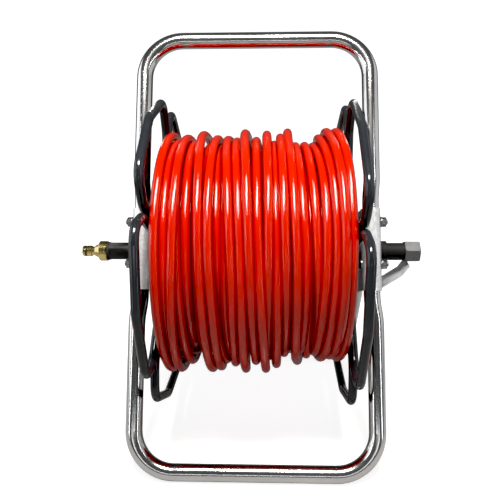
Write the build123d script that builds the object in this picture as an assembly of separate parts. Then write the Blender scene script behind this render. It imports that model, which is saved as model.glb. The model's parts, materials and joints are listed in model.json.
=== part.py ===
"""Floor-standing fire hose reel: a tube frame, a fixed axle pipe and a petal-flanged drum of red hose.

X runs along the axle, Y to the back of the reel and Z up. The origin is on the floor, straight below the
middle of the axle. All sizes are in millimetres. Points in the plane of the frame's front leg are given
as (along, back): up the leg from the point nearest the axle, and square to the leg towards the back.
"""

from build123d import *
from math import cos, pi, radians, sin, tan
import os

# ---- driving dimensions ----
HUB_HEIGHT = 290.0          # axle above the floor
LEAN = 28.1                 # front leg's lean from upright
TUBE_D = 25.0               # frame tube
TUBE_WALL = 1.5
AXLE_OFFSET = 26.5          # axle behind the front leg's centre line, square to it
HANDLE_ALONG = 334.0        # top bar above the axle, along the leg
TOP_HALF_WIDTH = 177.0      # leg centre lines from the middle plane
BRACKET_HALF_WIDTH = 174.5
FOOT_HALF_WIDTH = 179.0
REAR_FOOT_Y = 175.0
CORNER_R = 60.0

PLATE = 2.0                 # bracket sheet
BRACKET_HALF_LENGTH = 62.0
BRACKET_OUTLINE = [(-62, 0), (62, 0), (62, 28), (24, 98), (-20, 98), (-62, 72)]
LEG_BOLTS = [(42.0, 0.0), (-22.0, 0.0)]

PIPE_D = 26.9               # axle pipe, 3/4 inch steel pipe
PIPE_WALL = 2.65
PIPE_LEFT = -230.0
PIPE_RIGHT = 229.0
RUNNING = 0.05              # radial running clearance on the axle pipe
HEX_AF = 30.0
HEX_END = 252.0
HEX_TURN = -25.0            # a corner of the hexagon above straight forward
COLLAR_END = 201.0

FLANGE_X = 140.0            # petal tubes' centre plane from the middle
PETAL_TUBE_D = 12.7
PETAL_COUNT = 5
PETAL_CORNER_R = 229.0      # outer corners of a petal from the axle
PETAL_CORNER_ANGLE = 27.0   # outer corners either side of a petal's middle
PETAL_CROWN_R = 226.0
PINCH_R = 184.0             # where neighbouring petals part
SPOKE_START = 21.6
SPOKE_GAP = 0.2
LEFT_TURN = 37.5            # direction of the first pinch, from straight forward, turning up
RIGHT_TURN = 31.0

BARREL_R = 130.0            # winding core
BARREL_WALL = 1.2
SLOT_LEFT = -114.0
SLOT_RIGHT = -82.0
HOSE_D = 13.3
WINDING_R = 187.0
WINDING_LEFT = -129.5
WINDING_RIGHT = 133.0

SWIVEL_X = -86.0
SWIVEL_HALF = 25.0
SEAL_XS = (SWIVEL_X - 15.0, SWIVEL_X + 15.0)
CLIP_OFFSET = 26.4
FERRULE_LENGTH = 20.0
ELBOW_ARM = 8.5
ELBOW_R = 10.0
BARB_LENGTH = 17.5
CONNECTOR_X = 62.0
CONNECTOR_Y = 202.0         # connector's axis behind the axle
CONNECTOR_Z = 26.0          # its hose end, from the axle's height
BALL_COUNT = 4

TUBE_R = TUBE_D / 2
PIPE_R = PIPE_D / 2
PETAL_R = PETAL_TUBE_D / 2
HOSE_R = HOSE_D / 2
LEG_DIR = (0.0, sin(radians(LEAN)), cos(radians(LEAN)))
BACK_DIR = (0.0, cos(radians(LEAN)), -sin(radians(LEAN)))
HUB = Vector(0, 0, HUB_HEIGHT)
SIDES = {"left": -1, "right": 1}

# The hose from the drum's outlet to the first turn, as (x, y, z) from the axle's middle.
LEAD_IN_ROUTE = [
    (-86.0, -5.0, 57.2),
    (-87.0, 14.0, 90.0),
    (-93.0, 47.0, 109.0),
    (-101.0, 85.0, 109.0),
    (-109.0, 118.0, 90.0),
    (-116.0, 137.0, 57.0),
    (-120.0, 137.0, 19.0),
]
# The hose from the last turn to the connector at the back of the winding.
END_ROUTE = [
    (46.0, 20.0, 182.0),
    (50.0, 84.0, 169.0),
    (55.0, 143.0, 131.0),
    (60.0, 189.0, 83.0),
    (62.0, 202.0, 26.0),
]


# ---- helpers ----
def write(name, shape):
    """Write one node, moved from the axle's height to the floor frame."""
    os.makedirs("parts", exist_ok=True)
    shape.label = name
    export_step(shape, f"parts/{name}.step")


def group(solids):
    """Separate solids kept together in one node."""
    return Compound(children=list(solids))


def leg_point(x, along, back=0.0):
    """A point given by leg coordinates, in the part's frame."""
    rise = back - AXLE_OFFSET
    y = along * LEG_DIR[1] + rise * BACK_DIR[1]
    z = along * LEG_DIR[2] + rise * BACK_DIR[2]
    return Vector(x, y, z) + HUB


def leg_plane(side):
    """Local frame on a leg: x across the reel, y towards the back, z up the leg."""
    origin = leg_point(side * BRACKET_HALF_WIDTH, 0.0)
    return Plane(origin=origin, x_dir=(1, 0, 0), z_dir=LEG_DIR)


def rod(x0, x1, radius, y=0.0, z=HUB_HEIGHT):
    """A round bar along X."""
    disc = Plane(origin=(min(x0, x1), y, z), z_dir=(1, 0, 0)) * Circle(radius)
    return extrude(disc, abs(x1 - x0), dir=(1, 0, 0))


def pipe(x0, x1, outer, inner):
    """A round tube along the axle."""
    return rod(x0, x1, outer) - rod(x0 - 1, x1 + 1, inner)


def swept(path, outer, inner=0.0):
    """A round bar or tube along a path."""
    section = Circle(outer)
    if inner:
        section -= Circle(inner)
    return sweep(Plane(origin=path @ 0, z_dir=path % 0) * section, path=path)


def turned(profile):
    """A solid turned about the axle from (x, radius) points, closed along the axis."""
    points = [(x, HUB_HEIGHT + r) for x, r in profile]
    face = make_face(Plane.XZ * Polyline(*points, close=True))
    return revolve(face, Axis((0, 0, HUB_HEIGHT), (1, 0, 0)))


def hexagon(x0, x1, across_flats, turn):
    """A hexagonal bar along the axle with small chamfers on both ends."""
    corner = across_flats / 2 / cos(pi / 6)
    plane = Plane(origin=(x0, 0, HUB_HEIGHT), x_dir=(0, -1, 0), z_dir=(1, 0, 0))
    bar = extrude(plane * RegularPolygon(corner, 6, rotation=turn), x1 - x0, dir=(1, 0, 0))
    cone = 0.3 * corner
    limit = turned([(x0, 0), (x0, corner - 1.4), (x0 + cone, corner + 1.5), (x1 - cone, corner + 1.5),
                    (x1, corner - 1.4), (x1, 0)])
    return bar & limit


def fitted_radii(points):
    """The arc at each corner of a cord's route: 0.45 of the shorter run, over the tangent of half the turn."""
    radii = []
    for before, at, after in zip(points, points[1:], points[2:]):
        one, two = at - before, after - at
        half_turn = radians(one.get_angle(two)) / 2
        radii.append(0.45 * min(one.length, two.length) / tan(half_turn))
    return radii


def cord_tube(name, route):
    """A plain tube of hose along a route, with its radii and volume printed."""
    points = [Vector(*p) + HUB for p in route]
    radii = fitted_radii(points)
    path = FilletPolyline(*points, radius=radii)
    solid = swept(path, HOSE_R)
    ideal = pi * HOSE_R**2 * path.length
    print(name, "radii", [round(r) for r in radii], "length", round(path.length, 1),
          "volume ratio", round(solid.volume / ideal, 4))
    return solid


# ---- frame ----
def main_frame():
    """The closed front loop: floor bar, two legs drawn in at the brackets, and the top bar."""
    foot = -(HUB_HEIGHT - TUBE_R + AXLE_OFFSET * LEG_DIR[1]) / LEG_DIR[2]
    joggle = (78.0, 106.0)
    right = [
        (FOOT_HALF_WIDTH, foot, CORNER_R),
        (FOOT_HALF_WIDTH, -joggle[1], 120.0),
        (BRACKET_HALF_WIDTH, -joggle[0], 120.0),
        (BRACKET_HALF_WIDTH, joggle[0], 120.0),
        (TOP_HALF_WIDTH, joggle[1], 120.0),
        (TOP_HALF_WIDTH, HANDLE_ALONG, CORNER_R),
    ]
    middle_top, middle_foot = leg_point(0, HANDLE_ALONG), leg_point(0, foot)
    halves = []
    for side in SIDES.values():
        points = [middle_foot] + [leg_point(side * x, along) for x, along, _ in right] + [middle_top]
        path = FilletPolyline(*points, radius=[r for _, _, r in right])
        halves.append(swept(path, TUBE_R, TUBE_R - TUBE_WALL))
    loop = halves[0] + halves[1]
    for side in SIDES.values():
        for along, back in LEG_BOLTS:
            loop -= leg_plane(side) * cross_pin(along, back, 4.2, 30.0)
    return loop


def cross_pin(along, back, radius, half_length):
    """A pin across a leg, in the leg's local frame."""
    return Pos(0, back, along) * Rot(0, 90, 0) * Cylinder(radius, 2 * half_length)


def rear_leg_line():
    """The rear leg's direction in YZ and the top end of its centre line."""
    foot = Vector(0, REAR_FOOT_Y, TUBE_R)
    top = Vector(0, 38.0, HUB_HEIGHT + 8.0)
    return foot, top


def rear_leg():
    """The U-shaped rear leg, its open ends held between the bracket plates."""
    foot, top = rear_leg_line()
    half = Vector(BRACKET_HALF_WIDTH, 0, 0)
    path = FilletPolyline(top - half, foot - half, foot + half, top + half, radius=CORNER_R)
    leg = swept(path, TUBE_R, TUBE_R - TUBE_WALL)
    for side in SIDES.values():
        leg -= leg_plane(side) * cross_pin(*rear_bolt(), 4.2, 30.0)
    return leg


def rear_bolt():
    """The rear leg's bolt on its centre line, 20 mm from its end, in leg coordinates."""
    foot, top = rear_leg_line()
    at = top + (foot - top).normalized() * 20.0 - HUB
    along = at.Y * LEG_DIR[1] + at.Z * LEG_DIR[2]
    back = at.Y * BACK_DIR[1] + at.Z * BACK_DIR[2] + AXLE_OFFSET
    return along, back


def bracket(side):
    """A pressed saddle that wraps the front leg and carries the axle pipe and the rear leg."""
    inner = TUBE_R + 0.1
    outer = inner + PLATE
    depth = 98.0
    wrap = Circle(outer) + Pos(0, depth / 2) * Rectangle(2 * outer, depth)
    gap = Circle(inner) + Pos(0, depth / 2 + 1) * Rectangle(2 * inner, depth + 2)
    saddle = Pos(0, 0, -BRACKET_HALF_LENGTH) * extrude(wrap - gap, 2 * BRACKET_HALF_LENGTH)
    plate = make_face(Polyline(*[(back, along) for along, back in BRACKET_OUTLINE], close=True))
    plate = fillet([v for v in plate.vertices() if v.X > 20], 12.0)
    nose = Pos(-outer, 0) * Rectangle(2 * outer + 0.02, 2 * BRACKET_HALF_LENGTH)
    saddle &= extrude(Plane.YZ * (plate + nose), 2 * outer, both=True)
    saddle -= cross_pin(0.0, AXLE_OFFSET, PIPE_R + 0.1, 40.0)
    for along, back in LEG_BOLTS + [rear_bolt()]:
        saddle -= cross_pin(along, back, 4.2, 40.0)
    return leg_plane(side) * saddle


def bracket_fasteners():
    """Dome-headed bolts with washers and nuts through the legs, heads towards the drum."""
    face = TUBE_R + 0.1 + PLATE
    bolts, nuts, washers = [], [], []
    for side in SIDES.values():
        for along, back in LEG_BOLTS + [rear_bolt()]:
            spot = leg_plane(side) * Pos(0, back, along) * Rot(0, 90 * side, 0)
            head = Pos(0, 0, -face - 2.6) * Cylinder(7.5, 5.0)
            head = fillet(head.edges().group_by(Axis.Z)[0], 3.8)
            shank = Pos(0, 0, 5.2) * Cylinder(4.0, 2 * face + 10.6)
            bolts.append(spot * (head + shank))
            ring = Cylinder(8.0, 1.5) - Cylinder(4.2, 3.0)
            washers.append(spot * Pos(0, 0, face + 0.85) * ring)
            nut = extrude(RegularPolygon(7.5, 6), 6.5) - Cylinder(4.05, 30.0)
            nuts.append(spot * Pos(0, 0, face + 1.7) * nut)
    return group(bolts), group(nuts), group(washers)


def axle_stay():
    """The bent strip from the right bracket to the cap's underside, which stops the axle from turning."""
    half_width, thickness = 16.0, 3.0
    plate_x = BRACKET_HALF_WIDTH + TUBE_R + 0.1 + PLATE + 0.05
    below = HUB_HEIGHT
    line = [(plate_x + thickness / 2, below - 72.0), (plate_x + thickness / 2, below - 58.5),
            (226.0, below - 33.0), (236.0, below - 17.6)]
    centre = FilletPolyline(*[(x, 0, z) for x, z in line], radius=4.0)
    start = Plane(origin=centre @ 0, x_dir=(0, 1, 0), z_dir=centre % 0)
    strip = sweep(start * Rectangle(2 * half_width, thickness), path=centre)
    return strip - rod(225.0, 260.0, HEX_AF / 2 + 2.4)


# ---- axle ----
def axle_pipe():
    """The fixed pipe that carries the water in and the drum around it."""
    tube = pipe(PIPE_LEFT, PIPE_RIGHT, PIPE_R, PIPE_R - PIPE_WALL)
    port = Pos(SWIVEL_X, 0, HUB_HEIGHT) * Cylinder(5.0, 2 * PIPE_R + 4)
    for x in (SWIVEL_X - CLIP_OFFSET, SWIVEL_X + CLIP_OFFSET):
        tube -= pipe(x - 0.8, x + 0.8, PIPE_R + 1, PIPE_R - 0.9)
    return tube - port


def axle_cap():
    """The hexagonal plug that closes the pipe's right end."""
    spigot = rod(PIPE_RIGHT - 14.0, PIPE_RIGHT + 2, PIPE_R - PIPE_WALL - 0.05)
    return hexagon(PIPE_RIGHT + 0.05, HEX_END, HEX_AF, HEX_TURN) + spigot


def inlet_nipple():
    """The brass quick-connect nipple on the pipe's left end, with its seal groove."""
    bore = 4.5
    outside = [
        (-214.0, bore), (-214.0, 10.75), (-233.4, 10.75), (-233.4, 15.0), (-234.4, 15.7), (-245.2, 15.7),
        (-246.2, 15.0), (-246.2, 11.8), (-253.6, 8.45), (-254.4, 6.9), (-258.6, 6.9), (-259.4, 8.45),
        (-266.1, 8.45), (-266.1, 6.2), (-269.3, 6.2), (-269.3, 8.45), (-272.3, 8.45), (-273.5, 7.3),
        (-273.5, bore),
    ]
    return turned(outside)


def ring_seal(x, inner, section):
    """An O-ring about the axle."""
    return Pos(x, 0, HUB_HEIGHT) * Rot(0, 90, 0) * Torus(inner + section, section)


# ---- drum ----
def polar(radius, angle, x=0.0, across=0.0):
    """A point on a flange: the angle turns up from straight forward, across is square to that direction."""
    a = radians(angle)
    y = -radius * cos(a) + across * sin(a)
    z = radius * sin(a) + across * cos(a)
    return Vector(x, y, z) + HUB


def petal(side, turn, index):
    """One petal: a bent tube from the hub, out round three corners and back to the hub."""
    x = side * FLANGE_X
    pitch = 360.0 / PETAL_COUNT
    first = turn + index * pitch
    middle, last = first + pitch / 2, first + pitch
    offset = PETAL_R + SPOKE_GAP / 2
    points = [
        polar(SPOKE_START, first, x, offset),
        polar(PINCH_R, first, x, offset),
        polar(PETAL_CORNER_R, middle - PETAL_CORNER_ANGLE, x),
        polar(PETAL_CROWN_R, middle, x),
        polar(PETAL_CORNER_R, middle + PETAL_CORNER_ANGLE, x),
        polar(PINCH_R, last, x, -offset),
        polar(SPOKE_START, last, x, -offset),
    ]
    path = FilletPolyline(*points, radius=[38.0, 25.0, 40.0, 25.0, 38.0])
    return swept(path, PETAL_R, PETAL_R - 1.2)


def hub_disc(side):
    """The plate on the drum side of the spokes, welded to them and to the hub tube."""
    ends = sorted((side * (FLANGE_X - PETAL_R - 4.1), side * (FLANGE_X - PETAL_R - 0.1)))
    return pipe(*ends, 48.0, 21.1)


def hub_tube(side):
    """The short tube through a hub disc that holds the bush."""
    ends = sorted((side * 118.0, side * 148.0))
    return pipe(*ends, 21.0, 17.1)


def bush(side):
    """The flanged plastic bush that runs on the axle pipe."""
    ends = sorted((side * 118.0, side * 148.05))
    lip = sorted((side * 148.05, side * 151.0))
    return pipe(*ends, 17.05, PIPE_R + RUNNING) + pipe(*lip, 21.0, PIPE_R + RUNNING)


def spacer(side):
    """The fixed sleeve between a bush and its bracket."""
    ends = sorted((side * 151.5, side * (BRACKET_HALF_WIDTH - TUBE_R - 0.1 - PLATE - 0.1)))
    return pipe(*ends, 18.0, PIPE_R + RUNNING)


def core_barrel():
    """The rolled sheet core, with the slot that lets the hose out to its first turn."""
    end = FLANGE_X - PETAL_R - 0.1
    barrel = pipe(-end, end, BARREL_R, BARREL_R - BARREL_WALL)
    wedge = make_face(Polyline((0, 0), (55, 192), (120, 185), (153, 129), close=True))
    plane = Plane(origin=(SLOT_LEFT, 0, HUB_HEIGHT), x_dir=(0, 1, 0), z_dir=(1, 0, 0))
    return barrel - extrude(plane * wedge, SLOT_RIGHT - SLOT_LEFT, dir=(1, 0, 0))


def outlet_frame():
    """The hose's start and direction, the elbow's corner, and the outlet's direction from the axle."""
    start, after = Vector(*LEAD_IN_ROUTE[0]), Vector(*LEAD_IN_ROUTE[1])
    along = (after - start).normalized()
    corner = start - along * (FERRULE_LENGTH + ELBOW_ARM)
    axle = Vector(corner.X, 0, 0)
    return start + HUB, along, corner + HUB, (corner - axle).normalized()


def swivel_housing():
    """The brass swivel on the axle pipe: two seal grooves either side of a water chamber."""
    bore = PIPE_R + RUNNING
    ends = (SWIVEL_X - SWIVEL_HALF, SWIVEL_X + SWIVEL_HALF)
    _, _, _, out = outlet_frame()
    centre = Vector(SWIVEL_X, 0, HUB_HEIGHT)
    boss = Plane(origin=centre + out * 21.5, z_dir=out) * Cylinder(9.5, 7.0)
    hole = Plane(origin=centre + out * 20.0, z_dir=out) * Cylinder(4.0, 16.0)
    body = rod(*ends, 22.0) + boss
    body -= rod(ends[0] - 1, ends[1] + 1, bore)
    body -= rod(SWIVEL_X - 8, SWIVEL_X + 8, 17.5)
    for x in SEAL_XS:
        body -= rod(x - 1.8, x + 1.8, 16.6)
    return body - hole


def swivel_seals():
    """The two O-rings between the swivel and the pipe."""
    return group(ring_seal(x, PIPE_R + 0.08, 1.5) for x in SEAL_XS)


def swivel_clips():
    """The two spring rings in the pipe's grooves that keep the swivel in place."""
    xs = (SWIVEL_X - CLIP_OFFSET, SWIVEL_X + CLIP_OFFSET)
    return group(pipe(x - 0.7, x + 0.7, 17.0, PIPE_R - 0.85) for x in xs)


def outlet_elbow():
    """The brass elbow from the swivel's boss to the hose, with its barb inside the ferrule."""
    _, along, corner, out = outlet_frame()
    base = Vector(corner.X, 0, HUB_HEIGHT) + out * 25.1
    to_barb = FilletPolyline(base, corner, corner + along * (ELBOW_ARM + BARB_LENGTH), radius=ELBOW_R)
    to_ferrule = FilletPolyline(base, corner, corner + along * (ELBOW_ARM - 0.1), radius=ELBOW_R)
    return swept(to_barb, 4.6, 3.2) + swept(to_ferrule, 7.0, 3.9)


def hose_ferrule():
    """The crimped ferrule over the barb and the end of the hose, with its rolled grooves."""
    start, along, _, _ = outlet_frame()
    shell = Cylinder(8.4, FERRULE_LENGTH) - Cylinder(4.8, FERRULE_LENGTH + 2)
    for k in (-1, 0, 1):
        shell -= Pos(0, 0, 4.5 * k) * (Cylinder(9.0, 1.6) - Cylinder(7.7, 1.6))
    return Plane(origin=start - along * (FERRULE_LENGTH / 2 + 0.02), z_dir=along) * shell


# ---- hose and its connector ----
def hose_winding():
    """The wound hose as one closed ring of its outer shape."""
    ring = pipe(WINDING_LEFT, WINDING_RIGHT, WINDING_R, BARREL_R + 0.3)
    rim = [e for e in ring.edges().filter_by(GeomType.CIRCLE) if e.radius > WINDING_R - 1]
    return fillet(rim, HOSE_R)


def coupling(profile):
    """A turned piece on the connector's axis, from (distance from the hose end, radius) points."""
    face = make_face(Polyline(*[(r, s) for s, r in profile], close=True))
    return connector_plane() * revolve(Plane.XZ * face, Axis.Z)


def connector_plane():
    """The connector's frame: its z runs down, from the hose end to the mouth."""
    hose_end_point = (CONNECTOR_X, CONNECTOR_Y, HUB_HEIGHT + CONNECTOR_Z)
    return Plane(origin=hose_end_point, x_dir=(1, 0, 0), z_dir=(0, 0, -1))


def connector_nut():
    """The knurled nut that clamps the hose."""
    ring = coupling([(0, 7.0), (0, 11.0), (1, 12.0), (15, 12.0), (16, 11.2), (16, 7.0)])
    notches = []
    for k in range(18):
        notches.append(connector_plane() * Rot(0, 0, 20 * k) * Pos(12.4, 0, 8.0) * Cylinder(0.9, 11.0))
    return ring - notches


def connector_body():
    """The connector's body: threaded end, shoulder and the socket for a nipple."""
    outside = [(2, 3.2), (2, 6.7), (16.2, 6.7), (16.2, 11.2), (22, 11.2), (22, 10.3), (52, 10.3)]
    socket = [(52, 8.7), (38.6, 8.7), (38.6, 9.4), (35.2, 9.4), (35.2, 8.7), (33.5, 8.7), (31, 4.5), (31, 3.2)]
    body = coupling(outside + socket)
    for k in range(BALL_COUNT):
        body -= ball_seat(k) * Rot(0, 90, 0) * Cylinder(1.75, 6.0)
    return body


def ball_seat(index):
    """The place of one locking ball."""
    return connector_plane() * Rot(0, 0, 90 * index) * Pos(8.7, 0, 46.0)


def locking_balls():
    """The balls that catch a nipple's groove."""
    return group(ball_seat(k) * Sphere(1.55) for k in range(BALL_COUNT))


def connector_seal():
    """The seal inside the socket."""
    return connector_plane() * Pos(0, 0, 36.9) * Torus(8.1, 1.2)


def connector_sleeve():
    """The ribbed collar that slides back to let a nipple go."""
    bore = 10.3 + RUNNING
    outline = [(24.5, 13.0), (24.5, 14.0), (28, 14.0), (29, 13.3), (45, 13.3), (46, 14.0), (49.5, 14.0),
               (50.5, 13.0), (50.5, bore), (32.4, bore), (32.4, 12.9), (24.5, 12.9)]
    return coupling(outline)


def connector_spring():
    """The wire spring that keeps the collar forward."""
    coil = Helix(pitch=2.35, height=7.05, radius=11.75)
    wire = sweep(Plane(origin=coil @ 0, z_dir=coil % 0) * Circle(0.6), path=coil)
    return connector_plane() * Pos(0, 0, 23.4) * wire


# ---- build ----
def main():
    """Write every node."""
    write("main_frame", main_frame())
    write("rear_leg", rear_leg())
    bolts, nuts, washers = bracket_fasteners()
    write("bracket_bolts", bolts)
    write("bracket_nuts", nuts)
    write("bracket_washers", washers)
    write("axle_stay", axle_stay())
    write("axle_pipe", axle_pipe())
    face = BRACKET_HALF_WIDTH + TUBE_R + PLATE + 0.15
    write("axle_collar", pipe(face, COLLAR_END, 16.35, PIPE_R + RUNNING))
    write("axle_cap", axle_cap())
    write("inlet_washer", pipe(-233.35, PIPE_LEFT - 0.05, 14.2, 10.85))
    write("inlet_nipple", inlet_nipple())
    write("inlet_seal", ring_seal(-267.7, 6.35, 1.0))
    for name, side in SIDES.items():
        turn = LEFT_TURN if side < 0 else RIGHT_TURN
        write(f"{name}_bracket", bracket(side))
        write(f"{name}_spacer", spacer(side))
        write(f"{name}_bush", bush(side))
        write(f"{name}_hub_tube", hub_tube(side))
        write(f"{name}_hub_disc", hub_disc(side))
        for k in range(PETAL_COUNT):
            write(f"{name}_petal_{k + 1}", petal(side, turn, k))
    write("core_barrel", core_barrel())
    write("swivel_housing", swivel_housing())
    write("swivel_seals", swivel_seals())
    write("swivel_clips", swivel_clips())
    write("outlet_elbow", outlet_elbow())
    write("hose_ferrule", hose_ferrule())
    write("hose_lead_in", cord_tube("hose_lead_in", LEAD_IN_ROUTE))
    write("hose_winding", hose_winding())
    write("hose_end", cord_tube("hose_end", END_ROUTE))
    write("connector_nut", connector_nut())
    write("connector_body", connector_body())
    write("connector_balls", locking_balls())
    write("connector_seal", connector_seal())
    write("connector_sleeve", connector_sleeve())
    write("connector_spring", connector_spring())


main()
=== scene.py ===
"""The looks of a floor-standing fire hose reel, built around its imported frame.

The file is laid out as an add-on and run as a script. X runs along the axle, Y to the back and Z up, in
metres. Each piece has an operator, and the sizes and colours that a user would change are properties.
"""

import json
from math import cos, pi, radians, sin

import bmesh
import bpy
import numpy as np
from bpy.props import FloatProperty, FloatVectorProperty, IntProperty, PointerProperty
from mathutils import Matrix, Vector


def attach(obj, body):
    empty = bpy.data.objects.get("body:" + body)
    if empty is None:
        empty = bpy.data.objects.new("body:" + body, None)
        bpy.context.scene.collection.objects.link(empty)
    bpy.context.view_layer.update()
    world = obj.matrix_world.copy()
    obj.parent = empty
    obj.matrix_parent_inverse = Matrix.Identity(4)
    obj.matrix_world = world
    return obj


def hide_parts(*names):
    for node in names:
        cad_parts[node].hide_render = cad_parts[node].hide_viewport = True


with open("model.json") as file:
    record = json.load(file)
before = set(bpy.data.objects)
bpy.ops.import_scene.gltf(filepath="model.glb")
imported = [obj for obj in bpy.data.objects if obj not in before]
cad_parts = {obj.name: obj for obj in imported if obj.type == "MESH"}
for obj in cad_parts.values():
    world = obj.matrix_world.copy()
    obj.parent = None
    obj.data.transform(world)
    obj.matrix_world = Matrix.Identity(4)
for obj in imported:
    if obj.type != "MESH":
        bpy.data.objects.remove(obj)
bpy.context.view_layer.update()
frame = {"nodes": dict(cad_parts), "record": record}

bl_info = {
    "name": "Fire Hose Reel",
    "version": (1, 0, 0),
    "blender": (4, 5, 0),
    "location": "3D View > Sidebar > Reel",
    "description": "Builds the looks of a floor-standing fire hose reel",
    "category": "Object",
}

MM = 0.001
HUB = Vector((0.0, 0.0, 0.290))

# The hose from the drum's outlet to the first turn, in millimetres from the axle's middle.
LEAD_IN_ROUTE = [
    (-86.0, -5.0, 57.2),
    (-87.0, 14.0, 90.0),
    (-93.0, 47.0, 109.0),
    (-101.0, 85.0, 109.0),
    (-109.0, 118.0, 90.0),
    (-116.0, 137.0, 57.0),
    (-120.0, 137.0, 19.0),
]
# The hose from the last turn to the connector at the back of the winding.
END_ROUTE = [
    (46.0, 20.0, 182.0),
    (50.0, 84.0, 169.0),
    (55.0, 143.0, 131.0),
    (60.0, 189.0, 83.0),
    (62.0, 202.0, 26.0),
]
# The hidden layers: turns, radius, place of the first turn along the axle, way from it to the last one, and
# shift from the bottom of a turn to its top, in millimetres.
HIDDEN_LAYERS = [
    (14, 137.5, -120.0, 246.0, 4.0),
    (12, 151.0, 122.0, -240.0, -5.0),
]
# Where the outer turns lie: the radius at the top, front and bottom, then the place along the axle at
# the top, the upper front, the front, the lower front and the bottom, all in millimetres. The places came
# out of a program before some were changed, which isn't how a coil should be described.
OUTER_TURNS = [
    (175, 174, 180, -124, -126, -126, -125, -122),
    (164, 170, 168, -114, -119, -116, -117, -118),
    (169, 174, 180, -101, -103, -103, -110, -114),
    (160, 160, 160, -108, -102, -99, -96, -95),
    (166, 163, 150, -95, -90, -88, -90, -96),
    (179, 175, 180, -79, -73, -70, -66, -62),
    (166, 178, 172, -57, -61, -58, -52, -48),
    (158, 162, 158, -66, -58, -54, -50, -40),
    (152, 160, 152, -58, -50, -48, -46, -50),
    (156, 160, 156, -46, -42, -42, -42, -34),
    (168, 168, 170, -43, -35, -27, -27, -31),
    (169, 172, 181, -30, -25, -19, -15, -13),
    (181, 178, 168, -17, -10, -4, -1, 2),
    (170, 174, 180, 0, 4, 8, 13, 17),
    (179, 176, 160, 16, 18, 18, 20, 20),
    (164, 167, 173, 27, 29, 27, 27, 32),
    (175, 174, 150, 36, 39, 41, 43, 44),
    (162, 167, 148, 60, 61, 68, 71, 68),
    (154, 166, 146, 72, 78, 85, 83, 76),
    (161, 169, 150, 84, 94, 97, 92, 84),
    (173, 173, 157, 92, 106, 108, 104, 97),
    (183, 177, 152, 103, 119, 119, 116, 112),
    (186, 172, 152, 117, 126, 127, 124, 120),
    (168, 162, 142, 124, 126, 126, 125, 126),
]
LAST_TURN = (169, 173, 158, 47, 50, 57, 59, 61)
TURN_ANGLES = (95.0, 55.0, 22.0, -15.0, -56.0)      # where OUTER_TURNS gives the place along the axle
RADIUS_ANGLES = (95.0, 22.0, -56.0)                 # where it gives the radius
CROSSING_RADIUS = 187.0                             # where the hose crosses back to its last turn
LARGEST_RADIUS = 189.0
SETTLING_ROUNDS = 160
HOSE_STEPS = 4                                      # points of the mesh between two control points


# ---- settings ----
class HoseSettings(bpy.types.PropertyGroup):
    """Sizes and colour of the hose."""

    diameter: FloatProperty(name="Diameter", description="Outside of the hose", default=0.0133, unit="LENGTH")
    length: FloatProperty(name="Length", description="Whole length of the hose", default=50.0, unit="LENGTH")
    barrel: FloatProperty(name="Barrel", description="Radius of the winding core", default=0.130,
                          unit="LENGTH")
    half_width: FloatProperty(name="Half width", description="Flange to the middle", default=0.1336,
                              unit="LENGTH")
    stations: IntProperty(name="Stations", description="Control points for each turn", default=14, min=12)
    colour: FloatVectorProperty(name="Colour", description="Skin of the hose", subtype="COLOR", size=3,
                                default=(0.42, 0.0125, 0.0030))


class FinishSettings(bpy.types.PropertyGroup):
    """Colours of the metal pieces."""

    steel: FloatVectorProperty(name="Steel", description="Polished tube", subtype="COLOR", size=3,
                               default=(0.56, 0.56, 0.565))
    zinc: FloatVectorProperty(name="Zinc", description="Zinc-plated sheet", subtype="COLOR", size=3,
                              default=(0.62, 0.63, 0.65))
    coat: FloatVectorProperty(name="Coat", description="Black powder coat", subtype="COLOR", size=3,
                              default=(0.012, 0.0135, 0.016))
    brass: FloatVectorProperty(name="Brass", description="Machined brass", subtype="COLOR", size=3,
                               default=(0.58, 0.48, 0.22))


class StageSettings(bpy.types.PropertyGroup):
    """Where the camera stands, as seen from the axle's middle."""

    distance: FloatProperty(name="Distance", description="Camera to the axle", default=0.900, unit="LENGTH")
    elevation: FloatProperty(name="Elevation", description="Camera above the axle", default=radians(21.5),
                             subtype="ANGLE")
    azimuth: FloatProperty(name="Azimuth", description="Camera round to +X", default=radians(2.1),
                           subtype="ANGLE")
    roll: FloatProperty(name="Roll", description="Camera about its own axis", default=radians(0.65),
                        subtype="ANGLE")
    lens: FloatProperty(name="Lens", description="Focal length in millimetres", default=41.33)
    aside: FloatProperty(name="Aside", description="Axle's middle, right of the view's", default=0.00975,
                         unit="LENGTH")
    above: FloatProperty(name="Above", description="Axle's middle, above the view's", default=-0.002,
                         unit="LENGTH")


# ---- shader helpers ----
class Value:
    """One number that varies over a surface. Python's operators add the Math nodes that combine it."""

    def __init__(self, finish, socket):
        self.finish, self.socket = finish, socket

    def maths(self, operation, *others, clamp=False):
        """A Math node with this value first."""
        return self.finish.maths(operation, self, *others, clamp=clamp)

    def __add__(self, other):
        return self.maths("ADD", other)

    __radd__ = __add__

    def __mul__(self, other):
        return self.maths("MULTIPLY", other)

    __rmul__ = __mul__

    def __sub__(self, other):
        return self.maths("SUBTRACT", other)

    def __rsub__(self, other):
        return self.finish.maths("SUBTRACT", other, self)

    def __truediv__(self, other):
        return self.maths("DIVIDE", other)

    def above(self, edge, blur):
        """0 below the edge and 1 above it, with a soft step as wide as blur."""
        return ((self - (edge - blur / 2)) / blur).maths("ADD", 0.0, clamp=True)


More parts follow.
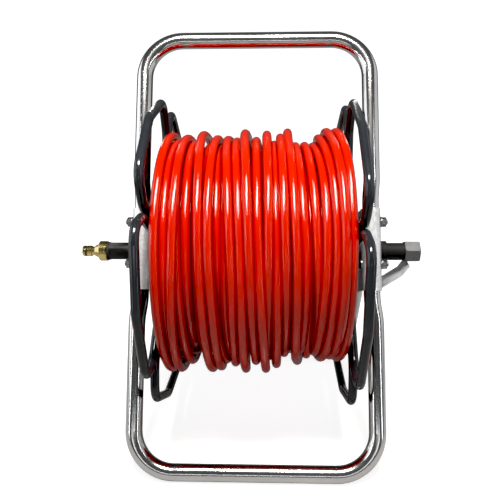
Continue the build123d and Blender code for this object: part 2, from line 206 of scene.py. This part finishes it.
class Finish:
    """A material under construction: its constants go on the Principled shader's own sockets."""

    def __init__(self, name, **constants):
        self.material = bpy.data.materials.new(name)
        self.material.use_nodes = True
        self.tree = self.material.node_tree
        self.shader = self.tree.nodes["Principled BSDF"]
        for key, value in constants.items():
            self.shader.inputs[key.replace("_", " ")].default_value = value
        self.place = self.node("ShaderNodeTexCoord").outputs["Object"]

    def node(self, kind, settings=None, **inputs):
        """Any node: its settings first, then the values or links of its sockets, by name or number."""
        made = self.tree.nodes.new(kind)
        for key, value in (settings or {}).items():
            setattr(made, key, value)
        for key, value in inputs.items():
            socket = made.inputs[int(key[1:])] if key[0] == "_" else made.inputs[key.replace("_", " ")]
            self.feed(socket, value)
        return made

    def feed(self, socket, value):
        """Links a socket to a value or socket, or sets its constant."""
        if isinstance(value, Value):
            value = value.socket
        if isinstance(value, bpy.types.NodeSocket):
            self.tree.links.new(value, socket)
        else:
            socket.default_value = value

    def maths(self, operation, *terms, clamp=False):
        """A Math node."""
        slots = {f"_{index}": term for index, term in enumerate(terms)}
        made = self.node("ShaderNodeMath", {"operation": operation, "use_clamp": clamp}, **slots)
        return Value(self, made.outputs[0])

    def noise(self, scale, detail=2.0, stretch=(1, 1, 1)):
        """Soft noise in object space, squeezed along the axes by stretch."""
        place = self.node("ShaderNodeMapping", Vector=self.place, Scale=stretch).outputs[0]
        made = self.node("ShaderNodeTexNoise", Vector=place, Scale=scale, Detail=detail, Roughness=0.5)
        return Value(self, made.outputs["Fac"])

    def axes(self, source=None):
        """The three parts of a vector."""
        split = self.node("ShaderNodeSeparateXYZ", Vector=source or self.place)
        return [Value(self, split.outputs[k]) for k in range(3)]

    def blend(self, share, one, two):
        """A colour between two."""
        made = self.node("ShaderNodeMix", {"data_type": "RGBA"}, _0=share, _6=colour4(one), _7=colour4(two))
        return made.outputs[2]

    def bump(self, height, depth):
        """A bumped normal from a height in the range 0 to 1 that stands for depth metres."""
        return self.node("ShaderNodeBump", Height=height, Strength=1.0, Distance=depth).outputs[0]

    def end(self, **links):
        """Feeds the shader and gives the material."""
        for key, value in links.items():
            self.feed(self.shader.inputs[key.replace("_", " ")], value)
        return self.material


def colour4(colour):
    """A colour with alpha, or a socket as it is."""
    return colour if isinstance(colour, bpy.types.NodeSocket) else (*colour, 1.0)


def dress(piece, material):
    """Gives every face of a piece one material."""
    piece.data.materials.clear()
    piece.data.materials.append(material)


# ---- finishes ----
def polished_tube():
    """Bright stainless tube: fine drawing lines and a little haze."""
    looks = bpy.context.scene.reel_finishes
    f = Finish("polished_tube", Metallic=1.0, Specular_IOR_Level=0.5)
    haze = f.noise(14.0, 3.0)
    fine = f.noise(420.0, 2.0)
    tint = f.blend(haze, tuple(0.80 * c for c in looks.steel), tuple(1.12 * c for c in looks.steel))
    rough = 0.09 + 0.09 * haze + 0.04 * fine
    return f.end(Base_Color=tint, Roughness=rough)


def zinc_sheet():
    """Zinc-plated sheet with rolling marks and spangle."""
    looks = bpy.context.scene.reel_finishes
    f = Finish("zinc_sheet", Metallic=0.62)
    rolled = f.noise(160.0, 3.0, (1.0, 1.0, 0.12))
    cloud = f.noise(30.0, 4.0)
    cells = f.node("ShaderNodeTexVoronoi", {"feature": "F1"}, Vector=f.place, Scale=260.0)
    spangle = f.axes(cells.outputs["Color"])[0]
    tint = f.blend(cloud * 0.5 + spangle * 0.5, tuple(0.80 * c for c in looks.zinc),
                   tuple(1.25 * c for c in looks.zinc))
    return f.end(Base_Color=tint, Roughness=0.26 + 0.16 * cloud + 0.08 * rolled,
                 Normal=f.bump(rolled, 0.00004))


def zinc_hardware():
    """Zinc on bolts, nuts, washers and clips, dulled by handling."""
    looks = bpy.context.scene.reel_finishes
    f = Finish("zinc_hardware", Metallic=1.0)
    cloud = f.noise(220.0, 3.0)
    tint = f.blend(cloud, tuple(0.22 * c for c in looks.zinc), tuple(0.62 * c for c in looks.zinc))
    return f.end(Base_Color=tint, Roughness=0.22 + 0.2 * cloud, Normal=f.bump(cloud, 0.00002))


def forged_cap():
    """Dull grey plating over a forged hexagon: pits and fine scratches along the axle."""
    f = Finish("forged_cap")
    grain = f.noise(520.0, 4.0)
    cloud = f.noise(70.0, 4.0)
    scratch = f.noise(700.0, 2.0, (0.08, 1.0, 1.0))
    tint = f.blend(0.5 * cloud + 0.5 * grain, (0.03, 0.032, 0.035), (0.20, 0.205, 0.215))
    return f.end(Base_Color=tint, Metallic=0.55 + 0.2 * cloud, Roughness=0.38 + 0.20 * grain,
                 Normal=f.bump(0.6 * grain + 0.4 * scratch, 0.00012))


def powder_coat(name="powder_coat", shine=0.10):
    """Gloss black powder coat with a faint orange peel."""
    looks = bpy.context.scene.reel_finishes
    f = Finish(name, Metallic=0.0, Specular_IOR_Level=0.4)
    peel = f.noise(240.0, 2.0)
    dust = f.noise(35.0, 4.0)
    tint = f.blend(dust, looks.coat, tuple(2.2 * c for c in looks.coat))
    return f.end(Base_Color=tint, Roughness=shine + 0.10 * dust, Normal=f.bump(peel, 0.00003))


def painted_pipe():
    """Satin black pipe, a little rubbed, and more matt on the right of the reel's middle."""
    f = Finish("painted_pipe", Specular_IOR_Level=0.25)
    peel = f.noise(300.0, 3.0)
    rub = f.noise(50.0, 4.0, (0.3, 1.0, 1.0))
    x, _, _ = f.axes()
    matt = x.above(0.0, 0.02)
    tint = f.blend(rub.above(0.60, 0.14), (0.010, 0.010, 0.011), (0.045, 0.046, 0.048))
    return f.end(Base_Color=tint, Roughness=0.24 + 0.22 * peel + 0.3 * matt, Normal=f.bump(peel, 0.00008))


def machined_brass():
    """Turned brass with tool marks round the axle and a warm, uneven tone."""
    looks = bpy.context.scene.reel_finishes
    f = Finish("machined_brass", Metallic=1.0)
    x, _, _ = f.axes()
    lines = f.maths("SINE", x * 9000.0) * 0.5 + 0.5
    tone = f.noise(90.0, 4.0)
    tint = f.blend(tone, tuple(0.72 * c for c in looks.brass), tuple(1.2 * c for c in looks.brass))
    return f.end(Base_Color=tint, Roughness=0.12 + 0.16 * tone, Normal=f.bump(lines, 0.00001))


def nickel_plate():
    """Bright nickel on the connector's collar."""
    f = Finish("nickel_plate", Metallic=1.0)
    tone = f.noise(120.0, 3.0)
    tint = f.blend(tone, (0.55, 0.53, 0.50), (0.74, 0.72, 0.68))
    return f.end(Base_Color=tint, Roughness=0.12 + 0.15 * tone)


def crimped_metal():
    """Pale crimped ferrule."""
    f = Finish("crimped_metal", Metallic=1.0)
    tone = f.noise(140.0, 4.0)
    return f.end(Base_Color=f.blend(tone, (0.5, 0.5, 0.51), (0.7, 0.7, 0.71)), Roughness=0.25 + 0.2 * tone)


def seal_rubber():
    """Matt black rubber with a fine bloom."""
    f = Finish("seal_rubber", Specular_IOR_Level=0.3)
    bloom = f.noise(260.0, 4.0)
    return f.end(Base_Color=f.blend(bloom, (0.010, 0.010, 0.010), (0.028, 0.028, 0.027)),
                 Roughness=0.55 + 0.25 * bloom, Normal=f.bump(bloom, 0.00005))


def bush_plastic():
    """Natural acetal bush."""
    f = Finish("bush_plastic", Subsurface_Weight=0.1)
    tone = f.noise(80.0, 3.0)
    tint = f.blend(tone, (0.68, 0.66, 0.60), (0.80, 0.78, 0.73))
    return f.end(Base_Color=tint, Roughness=0.4 + 0.15 * tone, Normal=f.bump(tone, 0.00003))


def hose_skin():
    """Glossy red hose: the braid shows through the skin as fine slanting ribs."""
    hose = bpy.context.scene.reel_hose
    f = Finish("hose_skin", Specular_IOR_Level=0.5)
    uv = f.node("ShaderNodeUVMap", {"uv_map": "hose"}).outputs[0]
    along, round_about, _ = f.axes(uv)
    pitch, strands = 0.0028, 15.0
    one = f.maths("SINE", (along / pitch + round_about * strands) * (2 * pi))
    two = f.maths("SINE", (along / pitch - round_about * strands) * (2 * pi))
    braid = (0.7 * one + 0.3 * two) * 0.5 + 0.5
    cloud = f.noise(26.0, 3.0)
    scuff = f.noise(120.0, 4.0).above(0.66, 0.10)
    red = f.blend(cloud, tuple(0.88 * c for c in hose.colour), tuple(1.10 * c for c in hose.colour))
    tint = f.blend(braid * 0.25, red, tuple(0.55 * c for c in hose.colour))
    return f.end(Base_Color=tint, Roughness=0.05 + 0.05 * cloud + 0.08 * scuff, Normal=f.bump(braid, 0.00012))


# ---- hose ----
def coil_keys():
    """The whole coil as (angle, place along the axle, radius) keys: the angle counts on over the turns."""
    keys = []
    turn = 1
    top, bottom = TURN_ANGLES[0], TURN_ANGLES[-1]
    for turns, radius, first, way, shift in HIDDEN_LAYERS:
        for k in range(turns):
            x = first + way * k / (turns - 1)
            keys += [(360.0 * turn + bottom, x, radius), (360.0 * turn + top, x + shift, radius)]
            turn += 1
    for row in OUTER_TURNS + [LAST_TURN]:
        radii = np.interp(TURN_ANGLES[::-1], RADIUS_ANGLES[::-1], row[2::-1])
        for angle, x, radius in zip(TURN_ANGLES[::-1], row[:2:-1], radii):
            keys.append((360.0 * turn + angle, x, radius))
        turn += 1
    return np.array(keys, float)


def settled_coil(settings):
    """The coil's control points (angle, place, radius), with turns moved apart where they'd share room."""
    step = 360.0 / settings.stations
    keys = coil_keys()
    start, end = 172.0 + step, keys[-1, 0] - 0.75 * step
    angles = np.arange(start, end, step)
    x = np.interp(angles, keys[:, 0], keys[:, 1])
    r = np.interp(angles, keys[:, 0], keys[:, 2])
    crossing = (angles > keys[-5, 0] - 200) & (angles < keys[-5, 0] - 10)
    r[crossing] = CROSSING_RADIUS
    wish_x, wish_r = x.copy(), r.copy()
    thick = settings.diameter / MM + 0.1
    low, side = settings.barrel / MM + thick / 2 + 0.1, settings.half_width / MM - thick / 2 - 0.2
    groups = [np.arange(k, len(angles), settings.stations) for k in range(settings.stations)]
    for _ in range(SETTLING_ROUNDS):
        move_x, move_r = np.zeros_like(x), np.zeros_like(r)
        for group in groups:
            dx = x[group][:, None] - x[group][None, :]
            dr = r[group][:, None] - r[group][None, :]
            apart = np.sqrt(dx**2 + dr**2) + 1e-6
            push = np.where(apart < thick, 0.5 * (thick - apart) / apart, 0.0)
            np.fill_diagonal(push, 0.0)
            move_x[group] = (push * dx).sum(1) * 0.6
            move_r[group] = (push * dr).sum(1) * 0.8
        for move in (move_x, move_r):
            move[1:-1] = 0.25 * move[:-2] + 0.5 * move[1:-1] + 0.25 * move[2:]
        x += move_x + 0.01 * (wish_x - x)
        r += move_r + 0.01 * (wish_r - r)
        x = np.clip(x, -side, side)
        r = np.clip(r, low, LARGEST_RADIUS)
    return angles, x, r


def hose_route(settings):
    """All control points of the hose, in metres."""
    angles, x, r = settled_coil(settings)
    stand_off = 1 / (0.75 + 0.25 * cos(2 * pi / settings.stations))
    a = np.radians(angles)
    coil = np.stack([x, -r * stand_off * np.cos(a), r * stand_off * np.sin(a)], axis=1)
    route = np.concatenate([LEAD_IN_ROUTE, coil, END_ROUTE])
    return route * MM + np.array(HUB)


def hose_curve(route, name, radius):
    """A smooth curve with the route as its control points."""
    data = bpy.data.curves.new(name, "CURVE")
    data.dimensions = "3D"
    spline = data.splines.new("NURBS")
    spline.points.add(len(route) - 1)
    spline.points.foreach_set("co", np.concatenate([route, np.ones((len(route), 1))], axis=1).ravel())
    spline.order_u = 3
    spline.use_endpoint_u = True
    spline.resolution_u = HOSE_STEPS
    data.twist_mode = "MINIMUM"
    data.bevel_depth = radius
    data.bevel_resolution = 4
    data.use_fill_caps = radius > 0
    curve = bpy.data.objects.new(name, data)
    bpy.context.scene.collection.objects.link(curve)
    return curve


def measured_skin(curve, line):
    """The curve's tube as a mesh whose UV is metres along the hose and turns around it."""
    mesh = bpy.data.meshes.new_from_object(curve)
    mesh.name = "hose"
    along = np.concatenate([[0.0], np.cumsum(np.linalg.norm(np.diff(line, axis=0), axis=1))])
    ring = len(mesh.vertices) // len(line)
    uv = mesh.uv_layers.new(name="hose")
    for polygon in mesh.polygons:
        polygon.use_smooth = True
        spots = [divmod(v, ring) for v in polygon.vertices]
        wraps = any(s == 0 for _, s in spots) and any(s == ring - 1 for _, s in spots)
        for loop, (place, spot) in zip(polygon.loop_indices, spots):
            turn = 1.0 if wraps and spot == 0 else spot / ring
            uv.data[loop].uv = (along[min(place, len(line) - 1)], turn)
    return mesh


class REEL_OT_hose(bpy.types.Operator):
    """Wind the hose on the drum"""

    bl_idname = "reel.add_hose"
    bl_label = "Hose"

    def execute(self, context):
        settings = context.scene.reel_hose
        route = hose_route(settings)
        bare = hose_curve(route, "bare", 0.0)
        line_mesh = bpy.data.meshes.new_from_object(bare)
        line = np.array([v.co for v in line_mesh.vertices])
        full = hose_curve(route, "full", settings.diameter / 2)
        hose = bpy.data.objects.new("hose", measured_skin(full, line))
        context.scene.collection.objects.link(hose)
        for spare in (bare, full):
            bpy.data.objects.remove(spare)
        dress(hose, hose_skin())
        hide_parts("hose_lead_in", "hose_winding", "hose_end")
        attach(hose, "drum")
        return {"FINISHED"}


# ---- CAD nodes ----
class REEL_OT_metalwork(bpy.types.Operator):
    """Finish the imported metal, plastic and rubber pieces"""

    bl_idname = "reel.finish_metalwork"
    bl_label = "Metalwork"

    def execute(self, context):
        finishes = {
            "frame_tube": polished_tube(), "zinc_sheet": zinc_sheet(), "zinc_fastener": zinc_hardware(),
            "zinc_cap": forged_cap(), "black_pipe": painted_pipe(), "black_powder": powder_coat(),
            "black_core": powder_coat("core_paint", 0.30), "brass": machined_brass(),
            "nickel": nickel_plate(),
            "crimped_steel": crimped_metal(), "spring_steel": zinc_hardware(), "bush_plastic": bush_plastic(),
            "seal_rubber": seal_rubber(),
        }
        for part in frame["record"]["subparts"]:
            if part["material_slot"] in finishes:
                dress(frame["nodes"][part["node"]], finishes[part["material_slot"]])
        return {"FINISHED"}


# ---- stage ----
def area_light(name, place, size, power, target=HUB, tone=(1.0, 1.0, 1.0), lights="all"):
    """A rectangular soft light that looks at the target and may be kept to reflections or to matt light."""
    data = bpy.data.lights.new(name, "AREA")
    data.shape = "RECTANGLE"
    data.size, data.size_y = size
    data.energy = power
    data.color = tone
    lamp = bpy.data.objects.new(name, data)
    lamp.location = place
    lamp.rotation_euler = (Vector(target) - Vector(place)).to_track_quat("-Z", "Y").to_euler()
    lamp.visible_diffuse = lights != "reflections"
    lamp.visible_glossy = lights != "matt"
    lamp.visible_camera = False
    bpy.context.scene.collection.objects.link(lamp)


def sky():
    """A white backdrop to the eye and a dim room to everything else."""
    world = bpy.data.worlds.new("studio")
    bpy.context.scene.world = world
    world.use_nodes = True
    tree = world.node_tree
    level = tree.nodes.new("ShaderNodeMapRange")
    tree.links.new(tree.nodes.new("ShaderNodeLightPath").outputs["Is Camera Ray"], level.inputs["Value"])
    level.inputs["To Min"].default_value = 0.12
    level.inputs["To Max"].default_value = 1.05
    tree.links.new(level.outputs[0], tree.nodes["Background"].inputs["Strength"])
    tree.nodes["Background"].inputs["Color"].default_value = (1.0, 1.0, 1.0, 1.0)


def floor():
    """A pale floor that glows: near white to the camera, with a painted shadow round the reel, and faintly to
    everything else.
    """
    mesh = bpy.data.meshes.new("floor")
    bm = bmesh.new()
    bmesh.ops.create_grid(bm, x_segments=1, y_segments=1, size=40.0)
    bm.to_mesh(mesh)
    bm.free()
    plane = bpy.data.objects.new("floor", mesh)
    bpy.context.scene.collection.objects.link(plane)
    # glow levels: 0.80 to the camera inside the painted shadow round the reel, 0.20 more past it, 0.06 more
    # to every ray
    near, lift_past_painted_shadow, unseen = 0.80, 0.20, 0.06
    f = Finish("floor", Roughness=0.8, Specular_IOR_Level=0.0, Emission_Strength=near + lift_past_painted_shadow + unseen)
    seen = Value(f, f.node("ShaderNodeLightPath").outputs["Is Camera Ray"])
    x, y, _ = f.axes()
    # painted shadow: the camera sees the floor glow at 0.86 within 0.45 m of the spot under the axle, rising
    # to 1.06 beyond 1.2 m
    past_painted_shadow = (x * x + y * y).above(0.8, 1.2)
    share = (seen * (lift_past_painted_shadow * past_painted_shadow + near) + unseen) / (near + lift_past_painted_shadow + unseen)
    glow = f.blend(share, (0.0, 0.0, 0.0), (1.0, 1.0, 1.0))
    tone = f.noise(0.5, 1.0)
    tint = f.blend(tone, (0.36, 0.36, 0.36), (0.38, 0.38, 0.38))
    dress(plane, f.end(Base_Color=tint, Emission_Color=glow))


def camera(settings):
    """The camera, from the direction and distance in the settings."""
    a, e = settings.azimuth, settings.elevation
    look = Vector((-sin(a) * cos(e), cos(a) * cos(e), -sin(e)))
    right = Vector((cos(a), sin(a), 0.0))
    up = right.cross(look)
    place = HUB - settings.aside * right - settings.above * up - settings.distance * look
    turned_right = right * cos(settings.roll) - up * sin(settings.roll)
    turned_up = up * cos(settings.roll) + right * sin(settings.roll)
    data = bpy.data.cameras.new("camera")
    data.lens = settings.lens
    data.sensor_width = 36.0
    data.clip_start = 0.05
    eye = bpy.data.objects.new("camera", data)
    turn = Matrix((turned_right, turned_up, -look)).transposed().to_4x4()
    eye.matrix_world = Matrix.Translation(place) @ turn
    bpy.context.scene.collection.objects.link(eye)
    bpy.context.scene.camera = eye


class REEL_OT_stage(bpy.types.Operator):
    """Set the floor, the soft lights and the camera"""

    bl_idname = "reel.set_stage"
    bl_label = "Stage"

    def execute(self, context):
        sky()
        floor()
        area_light("key", (0.0, -0.50, 1.75), (0.66, 0.40), 57.0, target=(0.0, -0.10, 0.40),
                   tone=(1.0, 0.96, 0.90))
        area_light("fill", (0.0, -2.4, 0.7), (0.5, 0.5), 7.0, lights="matt")
        area_light("back", (0.0, 2.0, 1.6), (1.4, 1.2), 16.0, lights="matt")
        area_light("left_wall", (-1.5, -0.05, 0.75), (1.5, 1.4), 12.0, lights="reflections")
        area_light("right_wall", (1.5, 0.2, 0.75), (1.5, 1.4), 5.0, lights="reflections")
        area_light("top_stripe", (0.0, -2.0, 0.55), (1.6, 0.12), 2.0, lights="reflections")
        for side in (-1, 1):
            area_light("edge", (1.0 * side, -0.8, 0.8), (0.05, 1.4), 3.0, target=(0.0, 0.0, 0.8),
                       lights="reflections")
        grade = context.scene.view_settings
        grade.view_transform = "Standard"
        grade.use_curve_mapping = True
        grade.curve_mapping.black_level = (0.02, 0.02, 0.02)
        camera(context.scene.reel_stage)
        return {"FINISHED"}


class REEL_PT_panel(bpy.types.Panel):
    """Buttons for each part of the reel"""

    bl_label = "Fire Hose Reel"
    bl_idname = "REEL_PT_panel"
    bl_space_type = "VIEW_3D"
    bl_region_type = "UI"
    bl_category = "Reel"

    def draw(self, context):
        for operator in OPERATORS:
            self.layout.operator(operator.bl_idname)
        for group in ("reel_hose", "reel_finishes", "reel_stage"):
            settings = getattr(context.scene, group)
            for name in settings.bl_rna.properties.keys():
                if name not in ("rna_type", "name"):
                    self.layout.prop(settings, name)


SETTINGS = {"reel_hose": HoseSettings, "reel_finishes": FinishSettings, "reel_stage": StageSettings}
OPERATORS = (REEL_OT_stage, REEL_OT_hose, REEL_OT_metalwork)


def register():
    """Registers the classes and puts the settings on the scene."""
    for name, group in SETTINGS.items():
        bpy.utils.register_class(group)
        setattr(bpy.types.Scene, name, PointerProperty(type=group))
    for cls in (*OPERATORS, REEL_PT_panel):
        bpy.utils.register_class(cls)


def unregister():
    """Undoes register."""
    for cls in (REEL_PT_panel, *reversed(OPERATORS)):
        bpy.utils.unregister_class(cls)
    for name, group in SETTINGS.items():
        delattr(bpy.types.Scene, name)
        bpy.utils.unregister_class(group)


def main():
    """Builds everything."""
    register()
    bpy.ops.reel.set_stage()
    bpy.ops.reel.add_hose()
    bpy.ops.reel.finish_metalwork()


if __name__ == "__main__":
    main()
